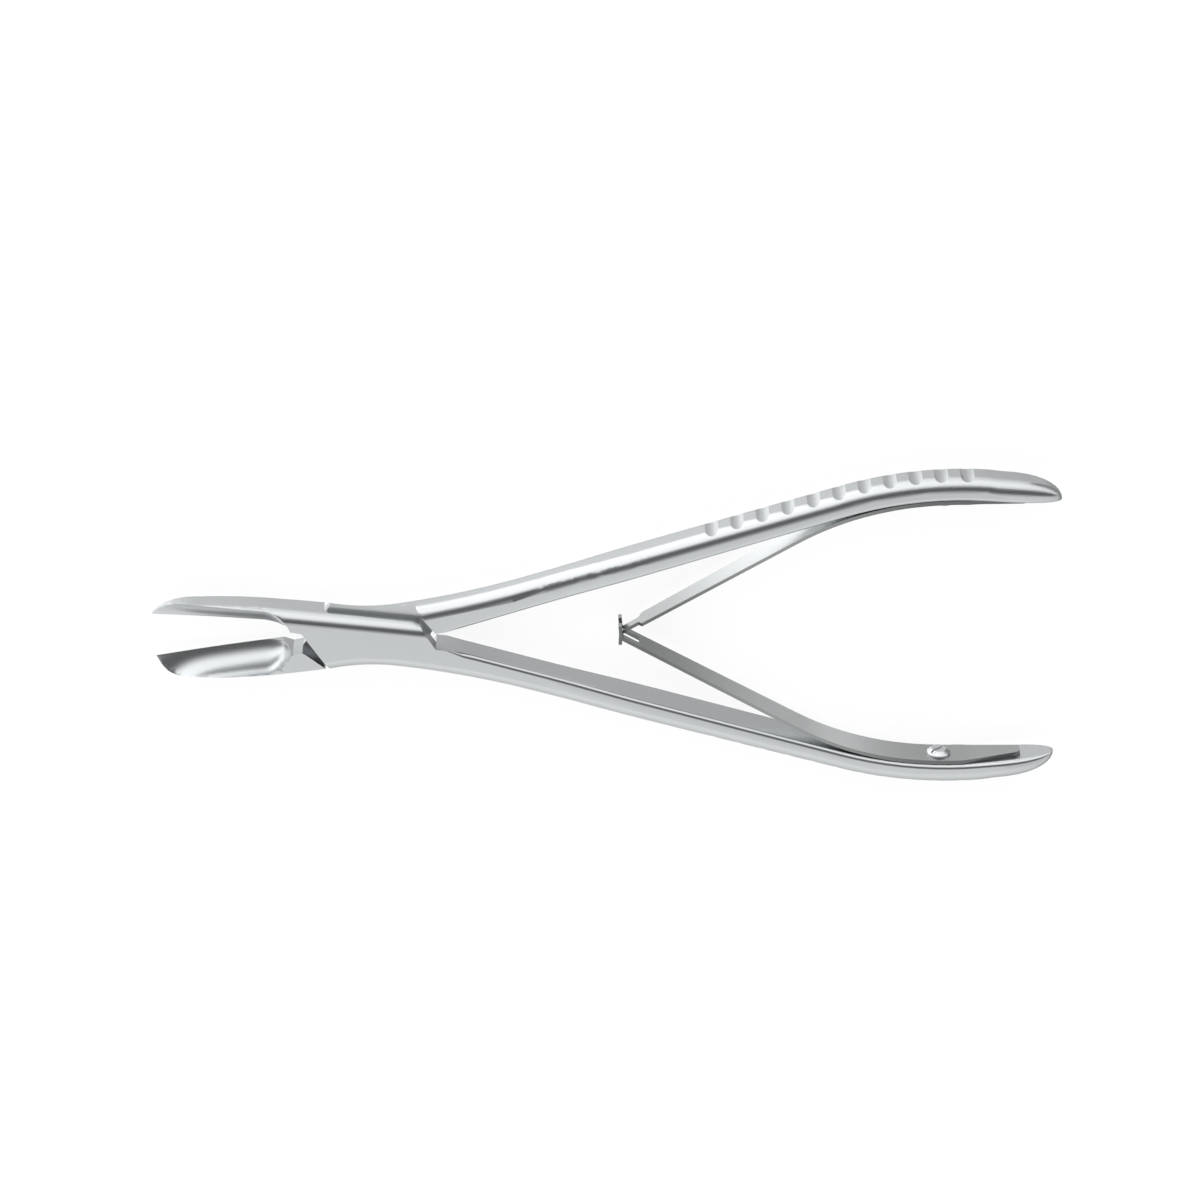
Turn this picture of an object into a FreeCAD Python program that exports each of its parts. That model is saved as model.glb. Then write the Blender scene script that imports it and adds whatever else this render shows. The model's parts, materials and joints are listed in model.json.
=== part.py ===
"""Straight bone cutting forceps with a lap joint and two interlocked leaf springs.

Both halves are drawn alike in one closed frame: the pivot axis is Z, the blade points along -X with its
cutting edge on Y = 0, the handle is on -Y and the lap half is on +Z. The rear half is then turned over
about X, and the two are swung apart by half the opening each, as the leaf springs hold them.
"""
import FreeCAD
import Part
import math
import os
import Sketcher

FRONT = 1
REAR = -1

SIZES = {
    # Opening and lap joint
    "opening_angle": 12.9,
    "lock_thickness": 6.2,
    "lap_clearance": 0.03,
    "edge_clearance": 0.02,
    "handle_shoulder_angle": 37.8,
    "handle_shoulder_reach": 10.83,
    "handle_shoulder_gap": 1.2,
    "handle_shoulder_turn": 7.6,
    "jaw_shoulder_angle": 39.2,
    "jaw_shoulder_reach": 8.42,
    "jaw_shoulder_gap": 0.24,
    "jaw_shoulder_turn": 5.0,
    "lock_height": 4.45,
    "lock_belly_start": 7.7,
    "lock_belly_height": 5.2,
    "lock_belly_drop": 6.9,
    "lock_belly_radius": 38.0,
    "lock_rim_round": 2.3,
    # Blades
    "blade_length": 39.6,
    "blade_height": 4.66,
    "blade_back_radius": 136.0,
    "nose_length": 7.6,
    "nose_height": 3.95,
    "nose_radius": 11.9,
    "tip_blunt": 0.3,
    "throat_relief": 0.9,
    "throat_drop": 0.15,
    "throat_end": 13.3,
    "edge_start": 15.0,
    "blade_flat_start": 12.0,
    "blade_rise_at_tip": 0.9,
    "blade_slope_start": 11.0,
    "blade_slope_radius": 158.0,
    "nose_face_length": 3.6,
    "nose_face_radius": 3.6,
    "grind_radius": 6.1,
    "grind_axis_offset": 1.7,
    "grind_axis_height": 5.96,
    "grind_start": 13.1,
    "grind_run_out": 5.8,
    # Handles
    "handle_inner_start": 0.15,
    "handle_inner_root_x": 21.0,
    "handle_inner_root_radius": 38.0,
    "handle_length": 132.5,
    "handle_slope": 10.9,
    "handle_end_slope": 11.0,
    "handle_bow_x": 105.5,
    "handle_bow_depth": 17.15,
    "handle_bow_radius": 70.0,
    "handle_outer_bow_radius": 74.5,
    "handle_root_x": 34.0,
    "handle_root_radius": 164.0,
    "handle_depth_root": 4.75,
    "handle_depth_bow": 4.2,
    "handle_depth_out": 4.2,
    "handle_depth_end": 3.3,
    "handle_width": 7.3,
    "handle_width_x": 56.0,
    "handle_outer_round": 2.4,
    # Grip scallops
    "scallop_count": 11,
    "scallop_pitch": 4.84,
    "scallop_first_x": 67.3,
    "scallop_radius": 1.7,
    "scallop_depth": 0.55,
    # Pivot screw
    "pivot_shank_radius": 2.0,
    "pivot_head_radius": 3.0,
    "pivot_head_height": 1.2,
    "pivot_cover": 0.6,
    "pivot_running_clearance": 0.04,
    "thread_clearance": 0.01,
    "pivot_slot_width": 0.8,
    "pivot_slot_depth": 0.6,
    # Leaf springs
    "leaf_slope": 24.3,
    "leaf_arc_radius": 53.8,
    "leaf_root_thickness": 0.8,
    "leaf_free_thickness": 0.65,
    "leaf_seat_gap": 0.04,
    "leaf_tail_x": 126.3,
    "leaf_tail_tip_radius": 1.5,
    "leaf_tail_taper_x": 115.0,
    "leaf_taper_x": 100.0,
    "leaf_root_width": 6.2,
    "lower_leaf_end_width": 4.8,
    "upper_leaf_end_width": 4.3,
    "leaf_bend_turn": 55.0,
    "leaf_bend_radius": 0.8,
    "leaf_hook_reach": 2.4,
    "tongue_width": 1.8,
    "fork_slot_width": 2.1,
    "fork_slot_length": 3.2,
    # Spring screws
    "spring_screw_angle": 4.55,
    "spring_screw_shank_radius": 1.25,
    "spring_screw_length": 2.4,
    "spring_screw_head_radius": 2.25,
    "spring_screw_head_height": 1.0,
    "spring_screw_head_edge": 0.35,
    "spring_screw_head_flat": 1.4,
    "spring_screw_slot_width": 0.55,
    "spring_screw_slot_depth": 0.5,
    "spring_screw_slot_turn": 45.0,
    "leaf_hole_clearance": 0.05,
}


class Size:
    """A number from the sheet that remembers the formula it came from."""

    def __init__(self, value, formula=None):
        self.value = float(value)
        self.formula = formula or repr(float(value))

    @staticmethod
    def of(number):
        return number if isinstance(number, Size) else Size(number)

    def combine(self, other, sign, value):
        return Size(value, "(%s %s %s)" % (self.formula, sign, other.formula))

    def __add__(self, other):
        other = Size.of(other)
        return self.combine(other, "+", self.value + other.value)

    def __sub__(self, other):
        other = Size.of(other)
        return self.combine(other, "-", self.value - other.value)

    def __mul__(self, other):
        other = Size.of(other)
        return self.combine(other, "*", self.value * other.value)

    def __truediv__(self, other):
        other = Size.of(other)
        return self.combine(other, "/", self.value / other.value)

    def __radd__(self, other):
        return Size.of(other) + self

    def __rsub__(self, other):
        return Size.of(other) - self

    def __rmul__(self, other):
        return Size.of(other) * self

    def __neg__(self):
        return Size(-self.value, "(-1 * %s)" % self.formula)


def sine(angle):
    angle = Size.of(angle)
    return Size(math.sin(math.radians(angle.value)), "sin(%s)" % angle.formula)


def cosine(angle):
    angle = Size.of(angle)
    return Size(math.cos(math.radians(angle.value)), "cos(%s)" % angle.formula)


def tangent(angle):
    angle = Size.of(angle)
    return Size(math.tan(math.radians(angle.value)), "tan(%s)" % angle.formula)


def root(number):
    return Size(math.sqrt(number.value), "sqrt(%s)" % number.formula)


class Sheet:
    """Gives each named size of the spreadsheet as an attribute."""

    def __init__(self, doc):
        cells = doc.addObject("Spreadsheet::Sheet", "Sizes")
        for row, (name, number) in enumerate(SIZES.items(), start=1):
            cells.set("A%d" % row, name)
            cells.set("B%d" % row, str(number))
            cells.setAlias("B%d" % row, name)
        doc.recompute()
        self.cells = cells

    def __getattr__(self, name):
        return Size(self.cells.get(name), "Sizes." + name)


def bind(thing, path, size):
    """Ties a property to a size of the sheet."""
    thing.setExpression(path, Size.of(size).formula)


def meet(first, second):
    """The crossing of two lines, each given as its normal's angle and its distance from the origin."""
    angle_1, reach_1 = first
    angle_2, reach_2 = second
    spread = sine(angle_2 - angle_1)
    x = (reach_1 * sine(angle_2) - reach_2 * sine(angle_1)) / spread
    y = (reach_2 * cosine(angle_1) - reach_1 * cosine(angle_2)) / spread
    return x, y


def centre_of(start, end, radius, bulge):
    """Centre of the arc from start to end that bulges to the left (1) or the right (-1) of its chord."""
    dx, dy = end[0] - start[0], end[1] - start[1]
    chord = math.hypot(dx, dy)
    rise = math.sqrt(max(radius * radius - chord * chord / 4, 0.0))
    middle_x, middle_y = (start[0] + end[0]) / 2, (start[1] + end[1]) / 2
    return middle_x + bulge * rise * dy / chord, middle_y - bulge * rise * dx / chord


def new_sketch(body, label, role, offset=None):
    plane = [part for part in body.Origin.OriginFeatures if part.Role == role][0]
    sketch = body.newObject("Sketcher::SketchObject", label)
    sketch.AttachmentSupport = [(plane, "")]
    sketch.MapMode = "FlatFace"
    if offset is not None:
        sketch.AttachmentOffset = offset
    return sketch


def pin_point(sketch, piece, end, x, y):
    """Fixes one end of a sketch piece at a named place."""
    for axis, place, line in (("DistanceX", x, -2), ("DistanceY", y, -1)):
        place = Size.of(place)
        if place.value == 0.0 and not place.formula.count("Sizes"):
            sketch.addConstraint(Sketcher.Constraint("PointOnObject", piece, end, line))
            continue
        index = sketch.addConstraint(Sketcher.Constraint(axis, -1, 1, piece, end, place.value))
        bind(sketch, "Constraints[%d]" % index, place)


def draw_loop(sketch, corners):
    """Draws a closed outline.

    Each corner is (x, y) or (x, y, radius, bulge), where the radius and the bulge are those of the arc
    that leads from that corner to the next one.
    """
    pieces = []
    for number, corner in enumerate(corners):
        following = corners[(number + 1) % len(corners)]
        start = [Size.of(value).value for value in corner[:2]]
        end = [Size.of(value).value for value in following[:2]]
        if len(corner) == 2:
            line = Part.LineSegment(FreeCAD.Vector(*start, 0), FreeCAD.Vector(*end, 0))
            pieces.append((sketch.addGeometry(line, False), 1, 2))
            continue
        radius, bulge = Size.of(corner[2]), corner[3]
        cx, cy = centre_of(start, end, radius.value, bulge)
        ends = [start, end] if bulge < 0 else [end, start]
        angles = [math.atan2(point[1] - cy, point[0] - cx) for point in ends]
        circle = Part.Circle(FreeCAD.Vector(cx, cy, 0), FreeCAD.Vector(0, 0, 1), radius.value)
        piece = sketch.addGeometry(Part.ArcOfCircle(circle, angles[0], angles[1]), False)
        pieces.append((piece, 1, 2) if bulge < 0 else (piece, 2, 1))
        index = sketch.addConstraint(Sketcher.Constraint("Radius", piece, radius.value))
        bind(sketch, "Constraints[%d]" % index, radius)
    for number, (piece, start, end) in enumerate(pieces):
        following = pieces[(number + 1) % len(pieces)]
        sketch.addConstraint(Sketcher.Constraint("Coincident", piece, end, following[0], following[1]))
        pin_point(sketch, piece, start, corners[number][0], corners[number][1])


def draw_circle(sketch, x, y, radius):
    x, y, radius = Size.of(x), Size.of(y), Size.of(radius)
    circle = Part.Circle(FreeCAD.Vector(x.value, y.value, 0), FreeCAD.Vector(0, 0, 1), radius.value)
    piece = sketch.addGeometry(circle, False)
    index = sketch.addConstraint(Sketcher.Constraint("Radius", piece, radius.value))
    bind(sketch, "Constraints[%d]" % index, radius)
    pin_point(sketch, piece, 3, x, y)


def pad(body, sketch, label, length):
    feature = body.newObject("PartDesign::Pad", label)
    feature.Profile = sketch
    feature.SideType = "Symmetric"
    bind(feature, "Length", length)
    return feature


def pocket(body, sketch, label, length, side=0):
    """Cuts a sketch through the body: both ways for side 0, else away from or along its normal."""
    feature = body.newObject("PartDesign::Pocket", label)
    feature.Profile = sketch
    feature.Type = "Length"
    feature.SideType = "Symmetric" if side == 0 else "One side"
    feature.Reversed = side > 0
    bind(feature, "Length", length)
    return feature


def rim_edges(shape, wanted):
    """Names of the edges between a wall that stands along Z and a face that doesn't, where wanted says so."""
    names = []
    for number, edge in enumerate(shape.Edges, start=1):
        middle = edge.valueAt((edge.FirstParameter + edge.LastParameter) / 2)
        normals = []
        for face in shape.ancestorsOfType(edge, Part.Face):
            u, v = face.Surface.parameter(middle)
            normals.append(face.normalAt(u, v))
        normals.sort(key=lambda normal: abs(normal.z))
        is_rim = len(normals) == 2 and abs(normals[0].z) < 0.05 and abs(normals[1].z) > 0.5
        if is_rim and wanted(middle, normals[0]):
            names.append("Edge%d" % number)
    return names


def round_edges(body, base, label, radius, wanted):
    body.Document.recompute()
    names = rim_edges(base.Shape, wanted)
    if not names:
        raise RuntimeError("no edges to round for " + label)
    feature = body.newObject("PartDesign::Fillet", label)
    feature.Base = (base, names)
    bind(feature, "Radius", radius)
    return feature


def bore(body, label, x, y, axis, radius, depth):
    """Drills a round hole from a point of the plan, along an axis that lies in the plan."""
    plane = [part for part in body.Origin.OriginFeatures if part.Role == "XY_Plane"][0]
    feature = body.newObject("PartDesign::SubtractiveCylinder", label)
    feature.AttachmentSupport = [(plane, "")]
    feature.MapMode = "FlatFace"
    turn = FreeCAD.Rotation(FreeCAD.Vector(0, 0, 1), FreeCAD.Vector(axis[0].value, axis[1].value, 0))
    feature.AttachmentOffset = FreeCAD.Placement(FreeCAD.Vector(x.value, y.value, 0), turn)
    bind(feature, "Radius", radius)
    bind(feature, "Height", depth)
    return feature


def handle_lines(sizes):
    """Points of a handle's inner and outer sides, with the side away from the other handle as +Y."""
    slope, end_slope = sizes.handle_slope, sizes.handle_end_slope
    bow_x, bow_depth = sizes.handle_bow_x, sizes.handle_bow_depth
    tangent_run = sizes.handle_bow_radius * tangent((slope + end_slope) / 2)
    inner_bow = (bow_x - tangent_run * cosine(slope), bow_depth - tangent_run * sine(slope))
    inner_out = (bow_x + tangent_run * cosine(end_slope), bow_depth - tangent_run * sine(end_slope))
    inner_x = sizes.handle_inner_root_x
    inner_root = (inner_x, inner_bow[1] - (inner_bow[0] - inner_x) * tangent(slope))
    root_depth = (sizes.handle_root_x - inner_x) * tangent(slope)
    end_x = sizes.handle_length
    inner_end = (end_x, inner_out[1] - (end_x - inner_out[0]) * tangent(end_slope))
    outer_root = (sizes.handle_root_x - sizes.handle_depth_root * sine(slope),
                  inner_root[1] + root_depth + sizes.handle_depth_root * cosine(slope))
    outer_bow = (inner_bow[0] - sizes.handle_depth_bow * sine(slope),
                 inner_bow[1] + sizes.handle_depth_bow * cosine(slope))
    outer_out = (inner_out[0] + sizes.handle_depth_bow * sine(end_slope),
                 inner_out[1] + sizes.handle_depth_out * cosine(end_slope))
    outer_end = (end_x + sizes.handle_depth_end * sine(end_slope),
                 inner_end[1] + sizes.handle_depth_end * cosine(end_slope))
    return inner_root, inner_bow, inner_out, inner_end, outer_root, outer_bow, outer_out, outer_end


def half_outline(sizes):
    """The plan of one half, its blade on +Y and its handle on -Y."""
    lines = handle_lines(sizes)
    inner_root, inner_bow, inner_out, inner_end, outer_root, outer_bow, outer_out, outer_end = lines
    shoulder = (sizes.handle_shoulder_angle, sizes.handle_shoulder_reach)
    top = (Size(90), sizes.lock_height)
    right_top = meet(shoulder, top)
    handle_start = meet(shoulder, (Size(270), sizes.handle_inner_start))
    lower = (180 + sizes.jaw_shoulder_angle, sizes.jaw_shoulder_reach)
    belly = (Size(270), sizes.lock_belly_drop)
    left_bottom = meet(lower, belly)
    left_top_y = sizes.throat_relief - sizes.throat_drop
    left_top = ((-1 * sizes.jaw_shoulder_reach - left_top_y * sine(sizes.jaw_shoulder_angle))
                / cosine(sizes.jaw_shoulder_angle), left_top_y)
    edge_y = sizes.edge_clearance / 2
    nose_x = -1 * sizes.blade_length + sizes.nose_length
    return [
        (-1 * sizes.blade_length, edge_y),
        (-1 * sizes.blade_length, edge_y + sizes.tip_blunt, sizes.nose_radius, 1),
        (nose_x, sizes.nose_height, sizes.blade_back_radius, 1),
        (-1 * sizes.edge_start, sizes.blade_height),
        right_top,
        (handle_start[0], handle_start[1], sizes.handle_inner_root_radius, 1),
        (inner_root[0], -1 * inner_root[1]),
        (inner_bow[0], -1 * inner_bow[1], sizes.handle_bow_radius, -1),
        (inner_out[0], -1 * inner_out[1]),
        (inner_end[0], -1 * inner_end[1]),
        (outer_end[0], -1 * outer_end[1]),
        (outer_out[0], -1 * outer_out[1], sizes.handle_outer_bow_radius, 1),
        (outer_bow[0], -1 * outer_bow[1]),
        (outer_root[0], -1 * outer_root[1], sizes.handle_root_radius, -1),
        (sizes.lock_belly_start, -1 * sizes.lock_belly_height, sizes.lock_belly_radius, -1),
        left_bottom,
        left_top,
        (-1 * sizes.throat_end, sizes.throat_relief),
        (-1 * sizes.edge_start, edge_y),
    ]


def width_loops(sizes):
    """Side view, along Y: the lock's and the handle's thickness, and a frame round it to cut away."""
    half_lock, half_grip = sizes.lock_thickness / 2, sizes.handle_width / 2
    start, end = sizes.handle_root_x, sizes.handle_width_x
    run, rise = end - start, half_grip - half_lock
    swell = (run * run + rise * rise) / (4 * rise)
    middle = ((start + end) / 2, (half_lock + half_grip) / 2)
    left, right, reach = -1.2 * sizes.blade_length, 1.2 * sizes.handle_length, sizes.handle_width
    outline = [
        (left, half_lock),
        (start, half_lock, swell, -1),
        (middle[0], middle[1], swell, 1),
        (end, half_grip),
        (right, half_grip),
        (right, -1 * half_grip),
        (end, -1 * half_grip, swell, 1),
        (middle[0], -1 * middle[1], swell, -1),
        (start, -1 * half_lock),
        (left, -1 * half_lock),
    ]
    frame = [(1.2 * left, -1 * reach), (1.2 * right, -1 * reach), (1.2 * right, reach), (1.2 * left, reach)]
    return outline, frame


def blade_side_loop(sizes, side):
    """Side view of what is ground off round the blade: its face falls to a rounded nose, its back rises."""
    half_lock = sizes.lock_thickness / 2
    left, reach = -1.2 * sizes.blade_length, sizes.handle_width
    fall = sizes.blade_length - sizes.nose_face_length - sizes.blade_slope_start
    radius = sizes.blade_slope_radius
    nose_z = half_lock - radius + root(radius * radius - fall * fall)
    loop = [
        (-1 * sizes.blade_flat_start, -1 * half_lock),
        (-1 * sizes.blade_length, sizes.blade_rise_at_tip - half_lock, sizes.nose_face_radius, 1),
        (sizes.nose_face_length - sizes.blade_length, nose_z, radius, 1),
        (-1 * sizes.blade_slope_start, half_lock),
        (-1 * sizes.blade_slope_start, reach),
        (left, reach),
        (left, -1 * reach),
        (-1 * sizes.blade_flat_start, -1 * reach),
    ]
    return [(corner[0], corner[1] * side) + ((corner[2], corner[3] * side) if len(corner) > 2 else ())
            for corner in loop]


def lap_region(sizes):
    """The part of the lock that the other half fills, between this half's two inner shoulders."""
    jaw = (180 - sizes.jaw_shoulder_angle - sizes.jaw_shoulder_turn,
           sizes.jaw_shoulder_reach + sizes.jaw_shoulder_gap)
    handle = (sizes.handle_shoulder_turn - sizes.handle_shoulder_angle,
              sizes.handle_shoulder_reach + sizes.handle_shoulder_gap)
    above = (Size(90), sizes.blade_height * 2)
    below = (Size(270), sizes.lock_belly_drop * 2)
    return [meet(jaw, above), meet(handle, above), meet(handle, below), meet(jaw, below)]


def bow_centre(sizes):
    """Centre of the inner bow of the lower handle, which the leaf spring's root follows."""
    _, inner_bow, *_ = handle_lines(sizes)
    return (inner_bow[0] + sizes.handle_bow_radius * sine(sizes.handle_slope),
            sizes.handle_bow_radius * cosine(sizes.handle_slope) - inner_bow[1])


def spring_screw_seat(sizes, reach):
    """A point on the spring screw's axis, at a reach from the bow's centre, and the way into the handle."""
    cx, cy = bow_centre(sizes)
    into = (sine(sizes.spring_screw_angle), -1 * cosine(sizes.spring_screw_angle))
    return cx + reach * into[0], cy + reach * into[1], into


def grind_placement(sizes, side):
    """Places the grinding sketch so that its X axis is the wheel's axis, parallel to the cutting edge."""
    rise = sizes.blade_rise_at_tip / (sizes.blade_length - sizes.blade_flat_start)
    height = sizes.grind_axis_height - sizes.lock_thickness / 2 - rise * sizes.blade_flat_start
    tilt = FreeCAD.Rotation(FreeCAD.Vector(0, 0, 1), -side * math.degrees(math.atan(rise.value)))
    base = FreeCAD.Vector(0, height.value * side, sizes.grind_axis_offset.value)
    return FreeCAD.Placement(base, tilt)


def add_hollow_grind(body, sizes, side):
    """Grinds the blade's inner face hollow, with a run-out towards the lock."""
    sketch = new_sketch(body, body.Label + "_grind", "XZ_Plane", grind_placement(sizes, side))
    radius, run_out = sizes.grind_radius, sizes.grind_run_out
    arc = (run_out * run_out + radius * radius) / (2 * radius)
    start, beyond = -1 * sizes.grind_start, -1.2 * sizes.blade_length
    draw_loop(sketch, [(beyond, 0), (beyond, radius), (start - run_out, radius, arc, 1), (start, 0)])
    groove = body.newObject("PartDesign::Groove", body.Label + "_hollow")
    groove.Profile = sketch
    groove.ReferenceAxis = (sketch, ["H_Axis"])
    groove.Angle = 360
    return groove


def add_scallops(body, sizes):
    """Rounded grooves across the handle's outer side, set along its straight and its bow."""
    _, _, _, _, outer_root, outer_bow, outer_out, _ = handle_lines(sizes)
    sketch = new_sketch(body, body.Label + "_scallops", "XY_Plane")
    lift = sizes.scallop_radius - sizes.scallop_depth
    slope = (outer_bow[1] - outer_root[1]) / (outer_bow[0] - outer_root[0])
    radius = sizes.handle_outer_bow_radius
    cx, cy = centre_of([outer_out[0].value, -outer_out[1].value], [outer_bow[0].value, -outer_bow[1].value],
                       radius.value, 1)
    for number in range(int(sizes.scallop_count.value)):
        x = sizes.scallop_first_x + number * sizes.scallop_pitch
        if x.value < outer_bow[0].value:
            y = outer_root[1] + (x - outer_root[0]) * slope + lift
        else:
            y = Size(-cy + math.sqrt(radius.value ** 2 - (x.value - cx) ** 2)) + lift
        draw_circle(sketch, x, -1 * y, sizes.scallop_radius)
    return pocket(body, sketch, body.Label + "_grip", sizes.handle_width)


def add_rounded_end(body, sizes):
    """Turns the handle's end to a dome whose axis is the middle of the flat inner side."""
    _, _, _, inner_end, *_ = handle_lines(sizes)
    base = FreeCAD.Vector(inner_end[0].value, -inner_end[1].value, 0)
    tilt = FreeCAD.Rotation(FreeCAD.Vector(0, 0, 1), sizes.handle_end_slope.value)
    sketch = new_sketch(body, body.Label + "_end", "XY_Plane", FreeCAD.Placement(base, tilt))
    half, clear = sizes.handle_width / 2, sizes.handle_width
    draw_loop(sketch, [(0, 0), (half, 0), (half, clear), (-1 * half, clear), (-1 * half, half, half, 1)])
    dome = body.newObject("PartDesign::Groove", body.Label + "_dome")
    dome.Profile = sketch
    dome.ReferenceAxis = (sketch, ["H_Axis"])
    dome.Angle = 360
    return dome


def add_half(doc, sizes, label, side):
    """One forged half: blade, half of the lock and handle."""
    body = doc.addObject("PartDesign::Body", label)
    body.Label = label
    plan = new_sketch(body, label + "_plan", "XY_Plane")
    draw_loop(plan, half_outline(sizes))
    pad(body, plan, label + "_blank", sizes.handle_width)
    widths = new_sketch(body, label + "_widths", "XZ_Plane")
    for loop in width_loops(sizes):
        draw_loop(widths, loop)
    last = pocket(body, widths, label + "_thinned", sizes.handle_length)
    lock_end = sizes.handle_shoulder_reach.value
    lock_top = sizes.lock_height.value / 2

    def on_outer_side(middle, wall):
        return wall.y < 0 and middle.y < -lock_top and wall.x > wall.y

    def on_lock_face(middle, wall):
        return middle.x < lock_end and wall.y > 0 and middle.y > lock_top and middle.z > 0

    last = round_edges(body, last, label + "_outer_round", sizes.handle_outer_round, on_outer_side)
    round_edges(body, last, label + "_lock_round", sizes.lock_rim_round, on_lock_face)
    blade = new_sketch(body, label + "_blade", "XZ_Plane")
    draw_loop(blade, blade_side_loop(sizes, side))
    pocket(body, blade, label + "_blade_ground", sizes.handle_length)
    add_rounded_end(body, sizes)

    lap_face = FreeCAD.Placement(FreeCAD.Vector(0, 0, sizes.lap_clearance.value / 2), FreeCAD.Rotation())
    lap = new_sketch(body, label + "_lap", "XY_Plane", lap_face)
    draw_loop(lap, lap_region(sizes))
    pocket(body, lap, label + "_lapped", sizes.lock_thickness, side=-1)
    add_hollow_grind(body, sizes, side)
    add_scallops(body, sizes)

    hole = new_sketch(body, label + "_pivot_hole", "XY_Plane")
    clearance = sizes.thread_clearance if side == FRONT else sizes.pivot_running_clearance
    draw_circle(hole, 0, 0, sizes.pivot_shank_radius + clearance)
    depth = sizes.lock_thickness / 2 + (clearance - sizes.pivot_cover if side == FRONT else 0)
    pocket(body, hole, label + "_pivot_bore", depth, side=1)
    if side == REAR:
        depth = sizes.pivot_head_height + sizes.lap_clearance
        floor = FreeCAD.Vector(0, 0, (sizes.lock_thickness / 2 - depth).value)
        place = FreeCAD.Placement(floor, FreeCAD.Rotation())
        seat = new_sketch(body, label + "_head_seat", "XY_Plane", place)
        draw_circle(seat, 0, 0, sizes.pivot_head_radius + sizes.pivot_running_clearance)
        pocket(body, seat, label + "_counterbore", sizes.lock_thickness, side=1)

    x, y, into = spring_screw_seat(sizes, sizes.handle_bow_radius - sizes.leaf_root_thickness)
    bore(body, label + "_spring_screw_hole", x, y, into,
         sizes.spring_screw_shank_radius + sizes.thread_clearance, sizes.spring_screw_length)
    return body


def leaf_path(sizes):
    """Places along the lower leaf: its bow's centre, the free stretch's start and the hook's corner."""
    cx, cy = bow_centre(sizes)
    slope, arc = sizes.leaf_slope, sizes.leaf_arc_radius
    outer = sizes.handle_bow_radius - sizes.leaf_seat_gap
    inner = outer - sizes.leaf_root_thickness
    arc_centre = (cx, cy - inner + arc)
    free_start = (arc_centre[0] - arc * sine(slope), arc_centre[1] - arc * cosine(slope))
    half = sizes.opening_angle / 2
    run = (free_start[0] * tangent(half) - free_start[1]) / (sine(slope) + cosine(slope) * tangent(half))
    corner = (free_start[0] - run * cosine(slope), free_start[1] + run * sine(slope))
    return (cx, cy), outer, inner, arc_centre, free_start, corner


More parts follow.
